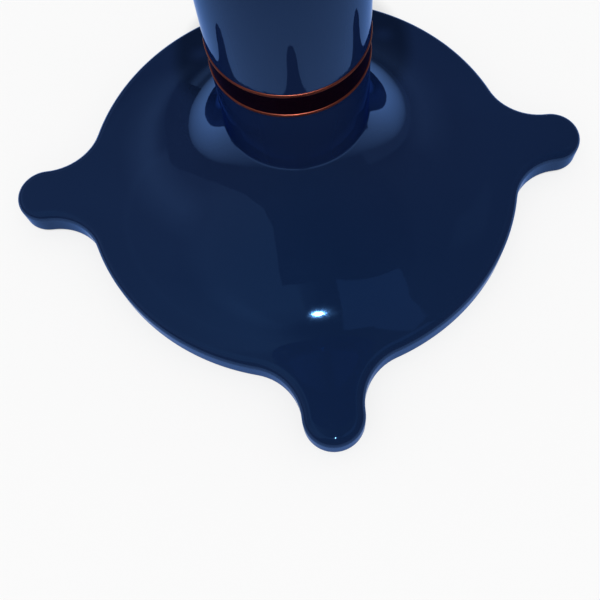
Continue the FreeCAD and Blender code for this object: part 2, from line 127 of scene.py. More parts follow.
class BaseSizes(bpy.types.PropertyGroup):
    """The lacquered casting.  Its reach, heights and neck come from the frame."""

    disc_radius: length("Disc radius", "Round part of the base, without its toes", 0.127)
    toe_half_width: length("Toe half width", "Half of a toe's width, and the radius of its tip", 0.0166)
    toe_blend: length("Toe blend", "Hollow radius where a toe leaves the disc", 0.0306)
    rim_top: length("Rim top", "Height of the flat rim and of the toes", 0.0165)
    edge_round: length("Edge rounding", "Radius of the rim's upper edge", 0.005)
    foot_bevel: length("Foot bevel", "Bevel of the rim's lower edge", 0.0004)
    rim_land: length("Rim land", "Flat strip between the flare and the rounded edge", 0.0003)
    neck_foot: length("Neck foot", "Height where the straight neck turns into the flare", 0.0715)
    throat_round: length("Throat rounding", "Small hollow radius off the neck", 0.0065)
    wall: length("Wall", "Thickness of the casting", 0.004)
    hollow_radius: length("Hollow radius", "Underside's hollow at the rim", 0.100)
    well_radius: length("Glide well radius", "Round recess in a toe's underside", 0.011)
    insert_hole: length("Insert hole radius", "Hole for the threaded insert in a toe", 0.005)
    rod_hole: length("Rod hole radius", "Hole for the tie rod in the web", 0.0055)
    cover_gap: length("Cover gap", "Room round the cover in its recess", 0.0005)


class TurnedSizes(bpy.types.PropertyGroup):
    """Small roundings of the turned pieces, and how finely they are divided."""

    columns: IntProperty(name="Columns", description="Divisions round a turned piece", default=256, min=24)
    ring_round: length("Ring rounding", "Corner of the copper rings", 0.0005)
    tube_round: length("Tube rounding", "Corner of the tube's ends", 0.0002)
    flange_round: length("Flange rounding", "Corner of the flange", 0.0015)
    hole_bevel: length("Hole bevel", "Bevel at the mouth of the flange's holes", 0.0005)
    pad_round: length("Pad rounding", "Corner of the glide pads", 0.0008)
    pad_bore: length("Pad bore", "Radius of the hole that the stud's pivot turns in", 0.00245)
    pad_recess: length("Pad recess", "Radius of the recess for the pivot's riveted end", 0.0044)
    pad_recess_depth: length("Pad recess depth", "Depth of that recess", 0.00165)


class ScrewSizes(bpy.types.PropertyGroup):
    """Countersunk screws with a hexagon socket."""

    flange_count: IntProperty(name="Flange screws", description="Screws that hold the flange", default=4)
    flange_circle: length("Flange screw circle", "Radius of the circle they lie on", 0.025)
    flange_shank: length("Flange screw shank", "Radius of the shank", 0.0025)
    flange_head: length("Flange screw head", "Radius of the head", 0.005)
    flange_sink: length("Flange screw sink", "Depth of the countersunk head", 0.0025)
    cover_count: IntProperty(name="Cover screws", description="Screws that hold the base cover", default=6)
    cover_circle: length("Cover screw circle", "Radius of the circle they lie on", 0.105)
    cover_shank: length("Cover screw shank", "Radius of the shank", 0.0015)
    cover_head: length("Cover screw head", "Radius of the head", 0.003)
    cover_sink: length("Cover screw sink", "Depth of the countersunk head", 0.0015)


class Finishes(bpy.types.PropertyGroup):
    """Colours of the finishes, as linear values."""

    navy: colour("Navy lacquer", "Gloss lacquer of the base, column and flange", (0.0055, 0.0166, 0.0570))
    navy_deep: colour("Deeper navy", "Tone that the same lacquer drifts to", (0.0046, 0.0142, 0.0500))
    navy_tint: colour("Clear layer tint", "Tint of the lacquer's clear layer", (0.15, 0.42, 1.0))
    band: colour("Neck band", "Almost black gloss lacquer", (0.0040, 0.0006, 0.0020))
    copper: colour("Copper", "Polished copper of the thin rings", (0.40, 0.10, 0.065))
    zinc: colour("Zinc", "Plated screws, rod, nuts and studs", (0.42, 0.42, 0.43))
    oxide: colour("Black oxide", "Weight inside the base", (0.035, 0.035, 0.037))
    brass: colour("Brass", "Threaded inserts", (0.52, 0.37, 0.13))
    aluminium: colour("Aluminium", "Turned spigot and plug", (0.60, 0.61, 0.63))
    board: colour("Cover board", "Textured board under the base", (0.018, 0.018, 0.020))
    nylon: colour("Nylon", "Moulded glide pads", (0.030, 0.030, 0.033))


class StageSettings(bpy.types.PropertyGroup):
    """Floor, lights and camera."""

    floor_size: length("Floor size", "Width of the pale floor", 60.0)
    floor_colour: colour("Floor colour", "Colour of the floor", (0.93, 0.93, 0.93))
    floor_glow: amount("Floor glow", "Share of the background's white near by", 0.6)
    floor_fade: length("Floor fade", "Where the floor starts to melt into the background", 0.8)
    background: amount("Background", "How bright the camera sees the horizon", 1.0)
    room_tone: amount("Room tone", "What gloss mirrors of the dark room", 0.03)
    fill: amount("Fill", "Soft light from all round", 0.50)
    lamp_level: amount("Lamp level", "Share of the light that the lamp gives", 0.50)
    lamp_azimuth: bearing("Lamp azimuth", "Round the axis from +X", -92)
    lamp_elevation: bearing("Lamp elevation", "Above the horizon", 80.2)
    lamp_distance: length("Lamp distance", "From the base to the overhead lamp", 9.0)
    lamp_radius: length("Lamp radius", "Radius of the overhead lamp", 0.09)
    skylight_colour: FloatVectorProperty(
        name="Skylight", description="What gloss mirrors of the skylight", size=3,
        default=(0.176, 0.198, 0.253))
    # These four set a painted pool of light: the floor that gloss mirrors is painted darker away from it.
    pool_radius: length("Pool radius", "Full brightness of the floor that gloss mirrors ends here", 0.14)
    pool_edge: length("Pool edge", "Where that floor has dimmed to its low share", 0.46)
    pool_low: amount("Pool low share", "Share of the floor colour outside", 0.15)
    pool_back: length("Pool back", "How far behind the axis the pool is centred", 0.09)
    screen_colour: colour("Dark screen", "Colour of the screen that only gloss sees", (0.06, 0.06, 0.06))
    screen_radius: length("Screen radius", "Curved dark screen round the left and the front", 0.45)
    camera_elevation: bearing("Camera elevation", "Above the horizon, at the origin", 58.25)
    camera_azimuth: bearing("Camera azimuth", "Round the pedestal from the front toe", -0.8)
    camera_distance: length("Camera distance", "From the origin", 0.458)
    camera_turn: FloatVectorProperty(
        name="Camera turn", description="Its rotation about X, Y and Z", size=3, subtype="EULER",
        default=(math.radians(23.591), math.radians(0.844), math.radians(-7.201)))
    camera_shift: FloatVectorProperty(
        name="Camera shift", description="Lens shift across and up", size=2, default=(-0.0641, -0.0308))
    lens: amount("Lens", "Focal length in millimetres", 44.65)


SETTING_GROUPS = {
    "pedestal_base": BaseSizes,
    "pedestal_turned": TurnedSizes,
    "pedestal_screws": ScrewSizes,
    "pedestal_finishes": Finishes,
    "pedestal_stage": StageSettings,
}


# ------------------------ mesh helpers

def placed(name, data):
    """Makes an object of a mesh, a light or a camera and puts it in the scene."""
    thing = bpy.data.objects.new(name, data)
    bpy.context.scene.collection.objects.link(thing)
    return thing


def ring_places(count, circle):
    """Points spaced evenly on a circle, as (x, y)."""
    return [
        (circle * math.cos(2 * math.pi * number / count), circle * math.sin(2 * math.pi * number / count))
        for number in range(count)
    ]


def rounded_section(corners, steps=7, longest_straight=3, support_share=0.45):
    """Turns corners (radius, height, rounding) into the points of a closed section.

    A rounded corner becomes an arc with a support point just beyond each end, which keeps the flat
    faces beside it flat when they are shaded smooth.  The point stands off by a share of the shorter
    straight, which counts as no longer than a few roundings.
    """
    points = []
    count = len(corners)
    for index, (radius, height, rounding) in enumerate(corners):
        here = Vector((radius, height))
        if rounding == 0:
            points.append(here)
            continue
        before = Vector(corners[index - 1][:2]) - here
        after = Vector(corners[(index + 1) % count][:2]) - here
        support = min(before.length, after.length, rounding * longest_straight) * support_share
        before.normalize()
        after.normalize()
        half_turn = before.angle(after) / 2
        reach = rounding / math.tan(half_turn)
        centre = here + (before + after).normalized() * (rounding / math.sin(half_turn))
        first = here + before * reach
        last = here + after * reach
        points.append(first + before * support)
        for step in range(steps + 1):
            spoke = (first - centre).lerp(last - centre, step / steps)
            points.append(centre + spoke.normalized() * rounding)
        points.append(last + after * support)
    return points


def add_piece(name, bm):
    """Makes an object of a bmesh: faces outwards, smooth, with its steep edges kept sharp."""
    bmesh.ops.remove_doubles(bm, verts=bm.verts, dist=WELD)
    bmesh.ops.recalc_face_normals(bm, faces=bm.faces)
    mesh = bpy.data.meshes.new(name)
    bm.to_mesh(mesh)
    bm.free()
    mesh.shade_smooth()
    mesh.set_sharp_from_angle(angle=SHARP_ANGLE)
    return placed(name, mesh)


def skin_rings(bm, rings, closed_section=True):
    """Joins rings of vertices, each a list of the same length, into bands of quads."""
    pairs = list(zip(rings, rings[1:]))
    if closed_section:
        pairs.append((rings[-1], rings[0]))
    for one, other in pairs:
        for index in range(len(one)):
            following = (index + 1) % len(one)
            corners = [one[index], one[following], other[following], other[index]]
            distinct = list(dict.fromkeys(corners))
            if len(distinct) > 2:
                bm.faces.new(distinct)


def turned_mesh(section, columns, centre=(0.0, 0.0)):
    """Revolves a section of (radius, height) points; a point on the axis becomes one vertex."""
    bm = bmesh.new()
    rings = []
    for radius, height in section:
        if radius < ON_AXIS:
            pole = bm.verts.new((centre[0], centre[1], height))
            rings.append([pole] * columns)
            continue
        rings.append([
            bm.verts.new((
                centre[0] + radius * math.cos(2 * math.pi * column / columns),
                centre[1] + radius * math.sin(2 * math.pi * column / columns),
                height))
            for column in range(columns)
        ])
    ends_on_axis = section[0][0] < ON_AXIS and section[-1][0] < ON_AXIS
    skin_rings(bm, rings, closed_section=not ends_on_axis)
    return bm


def turned_piece(name, corners, columns, centre=(0.0, 0.0)):
    section = [(point.x, point.y) for point in rounded_section(corners)]
    return add_piece(name, turned_mesh(section, columns, centre))


def carve(piece, cutters):
    """Cuts other objects out of a piece and removes them."""
    for cutter in cutters:
        modifier = piece.modifiers.new("carve", "BOOLEAN")
        modifier.operation = "DIFFERENCE"
        modifier.solver = "EXACT"
        modifier.object = cutter
    settle(piece)
    for cutter in cutters:
        bpy.data.objects.remove(cutter, do_unlink=True)


def settle(piece):
    """Turns a piece's modifiers into a plain mesh."""
    graph = bpy.context.evaluated_depsgraph_get()
    result = bpy.data.meshes.new_from_object(piece.evaluated_get(graph), depsgraph=graph)
    piece.modifiers.clear()
    piece.data = result
    result.set_sharp_from_angle(angle=SHARP_ANGLE)


def dress(piece, slot):
    """Gives a piece the finish of its slot."""
    piece.data.materials.clear()
    piece.data.materials.append(finish_for(slot))


def stand_in_for(piece, node, body, slot):
    """Gives a piece its finish and lets it stand for a CAD node on that node's body."""
    dress(piece, slot)
    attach(piece, body)
    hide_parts(node)


# ------------------------ node helpers

def named_group(name, kind, inputs, outputs):
    """Makes a node group with its sockets and returns it with its input and output nodes."""
    group = bpy.data.node_groups.new(name, kind)
    for socket_name, socket_type, default in inputs:
        socket = group.interface.new_socket(socket_name, in_out="INPUT", socket_type=socket_type)
        if default is not None:
            socket.default_value = default
    for socket_name, socket_type in outputs:
        group.interface.new_socket(socket_name, in_out="OUTPUT", socket_type=socket_type)
    source = group.nodes.new("NodeGroupInput")
    sink = group.nodes.new("NodeGroupOutput")
    return group, source, sink


def wire(tree, start, end):
    tree.links.new(start, end)


def feed(tree, item, socket):
    """Gives an input a value, or wires another node's output to it."""
    if isinstance(item, bpy.types.NodeSocket):
        wire(tree, item, socket)
    else:
        socket.default_value = item


def give(node, values):
    """Sets inputs of a node by their names."""
    for name, item in values.items():
        node.inputs[name].default_value = item


def noise(tree, vector, scale, detail, roughness=0.5):
    node = tree.nodes.new("ShaderNodeTexNoise")
    give(node, {"Detail": detail, "Roughness": roughness})
    wire(tree, vector, node.inputs["Vector"])
    feed(tree, scale, node.inputs["Scale"])
    return node.outputs["Fac"]


def remap(tree, value, from_low, from_high, to_low, to_high):
    """Maps a range of a value to another range; the new ends may be numbers or sockets."""
    node = tree.nodes.new("ShaderNodeMapRange")
    ends = {"From Min": from_low, "From Max": from_high, "To Min": to_low, "To Max": to_high}
    for name, item in ends.items():
        feed(tree, item, node.inputs[name])
    wire(tree, value, node.inputs["Value"])
    return node.outputs["Result"]


# A mix node has sockets for every data type; these are its colours A and B and its colour result.
MIX_COLOURS = (6, 7)
MIX_RESULT = 2


def mix_colour(tree, share, *colours):
    """Mixes two colours, each a socket or three numbers."""
    node = tree.nodes.new("ShaderNodeMix")
    node.data_type = "RGBA"
    wire(tree, share, node.inputs["Factor"])
    for index, item in zip(MIX_COLOURS, colours):
        feed(tree, item if isinstance(item, bpy.types.NodeSocket) else (*item, 1), node.inputs[index])
    return node.outputs[MIX_RESULT]


def operate(tree, kind, operation, values):
    node = tree.nodes.new(kind)
    node.operation = operation
    for socket, item in zip(node.inputs, values):
        feed(tree, item, socket)
    return node


def arithmetic(tree, operation, *values):
    return operate(tree, "ShaderNodeMath", operation, values).outputs["Value"]


def vector_arithmetic(tree, operation, *values):
    return operate(tree, "ShaderNodeVectorMath", operation, values).outputs


def surface_group(name, second_tone, values):
    """A shader group that puts out a finish's colour, roughness and height."""
    inputs = [("Vector", "NodeSocketVector", None)]
    inputs += [(tone, "NodeSocketColor", BLACK) for tone in ("Tone", second_tone)]
    inputs += [(socket, "NodeSocketFloat", value) for socket, value in values.items()]
    return named_group(name, "ShaderNodeTree", inputs, [
        ("Colour", "NodeSocketColor"), ("Roughness", "NodeSocketFloat"), ("Height", "NodeSocketFloat")])


def lacquer_surface_group():
    """Sprayed lacquer: tone drift, faint hand smudges in the gloss, orange peel and slow waves."""
    group, source, sink = surface_group(
        "lacquer_surface", "Deep Tone", {"Gloss": 0.03, "Smudge": 0.04, "Wave": 1.0, "Peel": 0.1})
    vector = source.outputs["Vector"]
    drift = remap(group, noise(group, vector, scale=9.0, detail=3.0), 0.35, 0.7, 0.0, 1.0)
    tone = mix_colour(group, drift, source.outputs["Tone"], source.outputs["Deep Tone"])
    wire(group, tone, sink.inputs["Colour"])
    smears = noise(group, vector, scale=34.0, detail=6.0, roughness=0.62)
    smudges = remap(group, smears, 0.52, 0.74, 0.0, source.outputs["Smudge"])
    wire(group, arithmetic(group, "ADD", source.outputs["Gloss"], smudges), sink.inputs["Roughness"])
    slow, fine = noise(group, vector, scale=22.0, detail=1.0), noise(group, vector, scale=420.0, detail=2.0)
    wave = arithmetic(group, "MULTIPLY", slow, source.outputs["Wave"])
    peel = arithmetic(group, "MULTIPLY", fine, source.outputs["Peel"])
    wire(group, arithmetic(group, "ADD", wave, peel), sink.inputs["Height"])
    return group


def metal_surface_group():
    """Machined or rolled metal: fine turning lines round Z, mottled gloss and a few dull spots."""
    group, source, sink = surface_group(
        "metal_surface", "Dull Tone", {"Gloss": 0.2, "Mottle": 0.15, "Grain Scale": 900.0})
    vector = source.outputs["Vector"]
    patches = remap(group, noise(group, vector, scale=60.0, detail=5.0, roughness=0.6), 0.4, 0.7, 0.0, 1.0)
    tone = mix_colour(group, patches, source.outputs["Tone"], source.outputs["Dull Tone"])
    wire(group, tone, sink.inputs["Colour"])
    mottle = arithmetic(group, "MULTIPLY", patches, source.outputs["Mottle"])
    wire(group, arithmetic(group, "ADD", source.outputs["Gloss"], mottle), sink.inputs["Roughness"])
    stretch = group.nodes.new("ShaderNodeMapping")
    stretch.inputs["Scale"].default_value = (0.12, 0.12, 1.0)
    wire(group, vector, stretch.inputs["Vector"])
    grain = noise(group, stretch.outputs["Vector"], source.outputs["Grain Scale"], detail=2.0)
    wire(group, grain, sink.inputs["Height"])
    return group


def moulded_surface_group():
    """Moulded plastic or board: fine sand texture and a little dust in it."""
    group, source, sink = surface_group("moulded_surface", "Dust Tone", {"Grain Scale": 1500.0})
    vector = source.outputs["Vector"]
    dust = remap(group, noise(group, vector, scale=45.0, detail=8.0, roughness=0.7), 0.5, 0.85, 0.0, 0.5)
    tone = mix_colour(group, dust, source.outputs["Tone"], source.outputs["Dust Tone"])
    wire(group, tone, sink.inputs["Colour"])
    wire(group, remap(group, dust, 0.0, 0.5, 0.52, 0.8), sink.inputs["Roughness"])
    wire(group, noise(group, vector, source.outputs["Grain Scale"], detail=3.0), sink.inputs["Height"])
    return group


def new_material(name):
    """A material with nodes, with its tree and its shader."""
    material = bpy.data.materials.new(name)
    material.use_nodes = True
    return material, material.node_tree, material.node_tree.nodes["Principled BSDF"]


def grouped_material(name, group, sockets, constants, bump_distance, bump_strength):
    """A material whose colour, roughness and bump come from a group; constants sit on the shader."""
    material, tree, shader = new_material(name)
    surface = tree.nodes.new("ShaderNodeGroup")
    surface.node_tree = group
    place = tree.nodes.new("ShaderNodeTexCoord")
    wire(tree, place.outputs["Object"], surface.inputs["Vector"])
    for socket, item in sockets.items():
        surface.inputs[socket].default_value = (*item, 1) if hasattr(item, "__len__") else item
    wire(tree, surface.outputs["Colour"], shader.inputs["Base Color"])
    wire(tree, surface.outputs["Roughness"], shader.inputs["Roughness"])
    bump = tree.nodes.new("ShaderNodeBump")
    give(bump, {"Distance": bump_distance, "Strength": bump_strength})
    wire(tree, surface.outputs["Height"], bump.inputs["Height"])
    wire(tree, bump.outputs["Normal"], shader.inputs["Normal"])
    wire(tree, bump.outputs["Normal"], shader.inputs["Coat Normal"])
    give(shader, constants)
    return material


# ------------------------ finishes

DUST_GREY = 0.25
SLANT_POWER = 0.2       # power of the lacquer's tint where it is seen at a slant; 0 would be colourless


def faded(tone, share):
    """A tone moved towards a dusty grey."""
    return tuple(part * (1 - share) + DUST_GREY * share for part in tone)


def darker(tone, share):
    return tuple(part * (1 - share) for part in tone)


def lacquer(name, tone, deep_tone, tint, ior):
    """Gloss lacquer whose clear layer is tinted, so that it stays coloured where it mirrors at a slant."""
    group = bpy.data.node_groups.get("lacquer_surface") or lacquer_surface_group()
    under_tint = [[part / shade for part, shade in zip(colour_set, tint)] for colour_set in (tone, deep_tone)]
    material = grouped_material(name, group, {
        "Tone": under_tint[0], "Deep Tone": under_tint[1],
        "Gloss": 0.022, "Smudge": 0.04, "Wave": 1.0, "Peel": 0.035,
    }, {"IOR": ior, "Coat Weight": 1.0, "Coat IOR": 1.02, "Coat Roughness": 0.02},
        bump_distance=0.0006, bump_strength=0.35)
    tree = material.node_tree
    slant = tree.nodes.new("ShaderNodeLayerWeight")
    slant.inputs["Blend"].default_value = 0.5
    pale = tuple(shade ** SLANT_POWER for shade in tint)
    wire(tree, mix_colour(tree, slant.outputs["Facing"], tint, pale),
         tree.nodes["Principled BSDF"].inputs["Coat Tint"])
    return material


def metal(name, tone, gloss, mottle=0.15, grain=900.0):
    group = bpy.data.node_groups.get("metal_surface") or metal_surface_group()
    return grouped_material(name, group, {
        "Tone": tone, "Dull Tone": darker(tone, 0.25), "Gloss": gloss, "Mottle": mottle, "Grain Scale": grain,
    }, {"Metallic": 1.0}, bump_distance=0.00005, bump_strength=0.3)


def moulded(name, tone, grain):
    group = bpy.data.node_groups.get("moulded_surface") or moulded_surface_group()
    return grouped_material(name, group, {
        "Tone": tone, "Dust Tone": faded(tone, 0.3), "Grain Scale": grain,
    }, {"IOR": 1.5}, bump_distance=0.0002, bump_strength=0.5)


@functools.cache
def finishes_by_slot():
    """Every finish of the pedestal, by the name of its slot in the record."""
    finishes = bpy.context.scene.pedestal_finishes
    return {
        "navy_lacquer": lacquer(
            "navy lacquer", finishes.navy, finishes.navy_deep, tint=finishes.navy_tint, ior=1.7),
        "dark_band": lacquer(
            "dark band lacquer", finishes.band, darker(finishes.band, 0.4), tint=(0.80, 0.35, 0.50), ior=1.5),
        "copper_trim": metal("polished copper", finishes.copper, gloss=0.28, mottle=0.12, grain=1400.0),
        "zinc_steel": metal("zinc plating", finishes.zinc, gloss=0.30),
        "raw_steel": metal("black oxide", finishes.oxide, gloss=0.42),
        "insert_brass": metal("turned brass", finishes.brass, gloss=0.28),
        "turned_aluminium": metal("turned aluminium", finishes.aluminium, gloss=0.26),
        "cover_board": moulded("cover board", finishes.board, grain=900.0),
        "glide_nylon": moulded("glide nylon", finishes.nylon, grain=1500.0),
    }


def finish_for(slot):
    """The material of a record slot."""
    return finishes_by_slot()[slot]


# ------------------------ the casting

class FlareCurve:
    """The casting's section: a straight neck, a small throat arc and one large arc level with the rim."""

    def __init__(self, sizes):
        self.sizes = sizes
        self.neck_radius = half_width("column_tube")
        self.neck_top = high("base_shell")
        self.end = sizes.disc_radius - sizes.edge_round - sizes.rim_land
        self.throat_x = self.neck_radius + sizes.throat_round
        run = self.end - self.throat_x
        drop = sizes.neck_foot - sizes.rim_top
        self.radius = (run ** 2 + drop ** 2 - sizes.throat_round ** 2) / (2 * (drop - sizes.throat_round))
        self.centre_z = sizes.rim_top + self.radius
        self.turn = math.atan2(run, self.centre_z - sizes.neck_foot)

    def points(self, neck_rows=10, throat_rows=12, flare_rows=60):
        """The outer face from the neck's top to the rim, as (radius, height)."""
        sizes = self.sizes
        found = []
        for row in range(neck_rows):
            share = row / neck_rows
            found.append((self.neck_radius, self.neck_top + (sizes.neck_foot - self.neck_top) * share))
        for row in range(throat_rows):
            angle = math.pi / 2 + (self.turn - math.pi / 2) * row / throat_rows
            found.append((
                self.throat_x - sizes.throat_round * math.sin(angle),
                sizes.neck_foot - sizes.throat_round * math.cos(angle)))
        for row in range(flare_rows + 1):
            angle = self.turn * (1 - row / flare_rows)
            found.append((
                self.end - self.radius * math.sin(angle),
                self.centre_z - self.radius * math.cos(angle)))
        return found

    def inner_height(self, radius):
        """Height of the casting's inner face at a radius."""
        reach = self.radius + self.sizes.wall
        return self.centre_z - math.sqrt(reach ** 2 - (self.end - radius) ** 2)


def arc(centre, radius, start, sweep, steps, hollow=False):
    """Points along an arc, each with its outward direction, which a hollow arc has towards its centre."""
    found = []
    for step in range(steps + 1):
        angle = start + sweep * step / steps
        spoke = Vector((math.cos(angle), math.sin(angle)))
        found.append((Vector(centre) + spoke * radius, -spoke if hollow else spoke))
    return found


def base_outline(sizes, reach, blend_steps=14, tip_steps=28, disc_steps=40):
    """The base in plan, anticlockwise, as (point, outward direction) pairs."""
    width = sizes.toe_half_width
    blend_y = width + sizes.toe_blend
    far = sizes.disc_radius + sizes.toe_blend
    blend_x = math.sqrt(far ** 2 - blend_y ** 2)
    tip_x = reach - width
    leaving = math.atan2(blend_y, blend_x)
    sweep = math.pi / 2 - leaving
    toes = len(TOE_NUMBERS)
    free = 2 * math.pi / toes - 2 * leaving
    part = arc((blend_x, -blend_y), sizes.toe_blend, math.pi - leaving, -sweep, blend_steps, hollow=True)
    part += arc((tip_x, 0), width, -math.pi / 2, math.pi, tip_steps)
    part += arc((blend_x, blend_y), sizes.toe_blend, -math.pi / 2, -sweep, blend_steps, hollow=True)
    part += arc((0, 0), sizes.disc_radius, leaving, free, disc_steps)[1:-1]
    outline = []
    for toe in range(toes):
        turn = Matrix.Rotation(2 * math.pi * toe / toes, 2)
        outline += [(turn @ point, turn @ outward) for point, outward in part]
    return outline


def base_mesh(sizes, curve, land_rows=6, round_rows=12, hollow_rows=14, support=0.0006, foot_support=0.001):
    """The whole casting as one closed skin, divided along its outline so that the toes stay crisp.

    The supports are narrow strips beside the rounded edges, which keep the flat faces flat.
    """
    outline = base_outline(sizes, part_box("base_shell")[1].x)
    rim_low = low("base_shell")
    cover_top = high("base_cover")
    cover_edge = half_width("base_cover") + sizes.cover_gap
    socket = half_width("neck_spigot")
    web_top = low("neck_spigot")
    web_low = high("lower_washer")
    bm = bmesh.new()
    rings = []

    def round_ring(radius, height):
        rings.append([
            bm.verts.new((radius * direction.x, radius * direction.y, height)) for direction in directions])

    def plan_ring(inset, height, share=1.0, from_radius=0.0):
        """A ring that follows the outline; a share under 1 lies between it and a circle."""
        ring = []
        for (point, outward), direction in zip(outline, directions):
            place = (point - outward * inset) * share + direction * from_radius * (1 - share)
            ring.append(bm.verts.new((place.x, place.y, height)))
        rings.append(ring)

    directions = [(point - outward * sizes.edge_round).normalized() for point, outward in outline]
    for radius, height in curve.points():
        round_ring(radius, height)
    for row in range(1, land_rows + 1):
        plan_ring(sizes.edge_round, sizes.rim_top, row / land_rows, curve.end)
    for row in range(1, round_rows + 1):
        angle = math.pi / 2 * row / round_rows
        inset, drop = sizes.edge_round * (1 - math.sin(angle)), sizes.edge_round * (1 - math.cos(angle))
        plan_ring(inset, sizes.rim_top - drop)
    wall_top = sizes.rim_top - sizes.edge_round
    plan_ring(0, wall_top - support)
    plan_ring(0, rim_low + foot_support)
    plan_ring(0, rim_low + sizes.foot_bevel)
    plan_ring(sizes.foot_bevel, rim_low)
    plan_ring(sizes.foot_bevel + support, rim_low)
    round_ring(cover_edge, rim_low)
    round_ring(cover_edge, cover_top)
    round_ring(sizes.hollow_radius, cover_top)
    for row in range(hollow_rows + 1):
        radius = sizes.hollow_radius + (socket - sizes.hollow_radius) * row / hollow_rows
        round_ring(radius, curve.inner_height(radius))
    round_ring(socket, web_low)
    round_ring(sizes.rod_hole, web_low)
    round_ring(sizes.rod_hole, web_top)
    round_ring(socket, web_top)
    round_ring(socket, curve.neck_top)
    skin_rings(bm, rings)
    return bm


class PEDESTAL_OT_base(bpy.types.Operator):
    """Make the lacquered casting with its flare, neck and toes"""

    bl_idname = "pedestal.base"
    bl_label = "Base casting"

    def execute(self, context):
        sizes = context.scene.pedestal_base
        casting = add_piece("base_casting", base_mesh(sizes, FlareCurve(sizes)))
        well_low = -sizes.wall        # well clear of the rim's underside
        well_top, hole_top = low("foot_inserts"), high("foot_inserts")
        corners = [
            (0, well_low, 0), (sizes.well_radius, well_low, 0), (sizes.well_radius, well_top, 0),
            (sizes.insert_hole, well_top, 0), (sizes.insert_hole, hole_top, 0), (0, hole_top, 0),
        ]
        carve(casting, [
            turned_piece(f"well_{number}", corners, HOLE_COLUMNS, middle(f"glide_pad_{number}"))
            for number in TOE_NUMBERS
        ])
        stand_in_for(casting, "base_shell", STAND, "navy_lacquer")
        return {"FINISHED"}


# ------------------------ the neck, the column and the flange

SPIGOT_FOOT = 0.95      # the spigot's lower part with its play, as a share of its upper part's radius
SPIGOT_PLAY = 0.00005   # between the spigot's upper part and the tube


def hoop(name, node, bore, rounding, slot):
    """A plain ring the size of its node, with its outer corners rounded."""
    columns = bpy.context.scene.pedestal_turned.columns
    outer, bottom, top = half_width(node), low(node), high(node)
    piece = turned_piece(
        name, [(bore, bottom, 0), (outer, bottom, rounding), (outer, top, rounding), (bore, top, 0)], columns)
    stand_in_for(piece, node, STAND, slot)


class PEDESTAL_OT_neck(bpy.types.Operator):
    """Make the dark band and its two thin copper rings"""

    bl_idname = "pedestal.neck"
    bl_label = "Neck band and rings"

    def execute(self, context):
        turned = context.scene.pedestal_turned
        bore = half_width("neck_spigot") * SPIGOT_FOOT
        hoop("lower_copper_ring", "lower_trim_ring", bore, turned.ring_round, "copper_trim")
        hoop("dark_neck_band", "neck_band", bore, turned.tube_round, "dark_band")
        hoop("upper_copper_ring", "upper_trim_ring", bore, turned.ring_round, "copper_trim")
        return {"FINISHED"}


class PEDESTAL_OT_column(bpy.types.Operator):
    """Make the lacquered tube"""

    bl_idname = "pedestal.column"
    bl_label = "Column"

    def execute(self, context):
        bore = half_width("neck_spigot") + SPIGOT_PLAY
        hoop("column", "column_tube", bore, context.scene.pedestal_turned.tube_round, "navy_lacquer")
        return {"FINISHED"}


class PEDESTAL_OT_flange(bpy.types.Operator):
    """Make the round flange with its bolt holes and screw sinks"""

    bl_idname = "pedestal.flange"
    bl_label = "Flange"

    def execute(self, context):
        turned = context.scene.pedestal_turned
        screws = context.scene.pedestal_screws
        outer, bottom, top = half_width("top_flange"), low("top_flange"), high("top_flange")
        rounding = turned.flange_round
        flange = turned_piece(
            "flange", [(0, bottom, 0), (outer, bottom, rounding), (outer, top, rounding), (0, top, 0)],
            turned.columns)
        bolts = next(mount for mount in frame["record"]["mounts"] if mount["kind"] == "bolt_pattern")
        circle = bolts["dims"]["pcd_mm"] * MM / 2
        radius = bolts["dims"]["hole_r_mm"] * MM
        bevel = turned.hole_bevel
        cutters = [
            turned_piece(f"bolt_hole_{number}", [
                (0, bottom - bevel, 0), (radius + 2 * bevel, bottom - bevel, 0), (radius, bottom + bevel, 0),
                (radius, top - bevel, 0), (radius + 2 * bevel, top + bevel, 0), (0, top + bevel, 0),
            ], HOLE_COLUMNS, centre)
            for number, centre in enumerate(ring_places(bolts["dims"]["count"], circle))
        ]
        cutters += [
            turned_piece(f"screw_sink_{number}", [
                (0, bottom - bevel, 0), (screws.flange_shank, bottom - bevel, 0),
                (screws.flange_shank, top - screws.flange_sink, 0), (screws.flange_head, top, 0),
                (screws.flange_head, top + bevel, 0), (0, top + bevel, 0),
            ], SINK_COLUMNS, centre)
            for number, centre in enumerate(ring_places(screws.flange_count, screws.flange_circle))
        ]
        carve(flange, cutters)
        stand_in_for(flange, "top_flange", STAND, "navy_lacquer")
        return {"FINISHED"}


# ------------------------ screws, as Geometry Nodes

SCREW_SIDES = 40
HEXAGON = 6
HEAD_TIP = 1.06         # the head's lower end, as a share of the shank's radius
SHANK_START = 0.5       # how far down the sink the shank starts inside the head
SOCKET_WIDTH = 0.56     # the hexagon's radius, as a share of the head's
SOCKET_LENGTH = 1.3     # the hexagon's length, as a share of the sink; half of it stands above the face


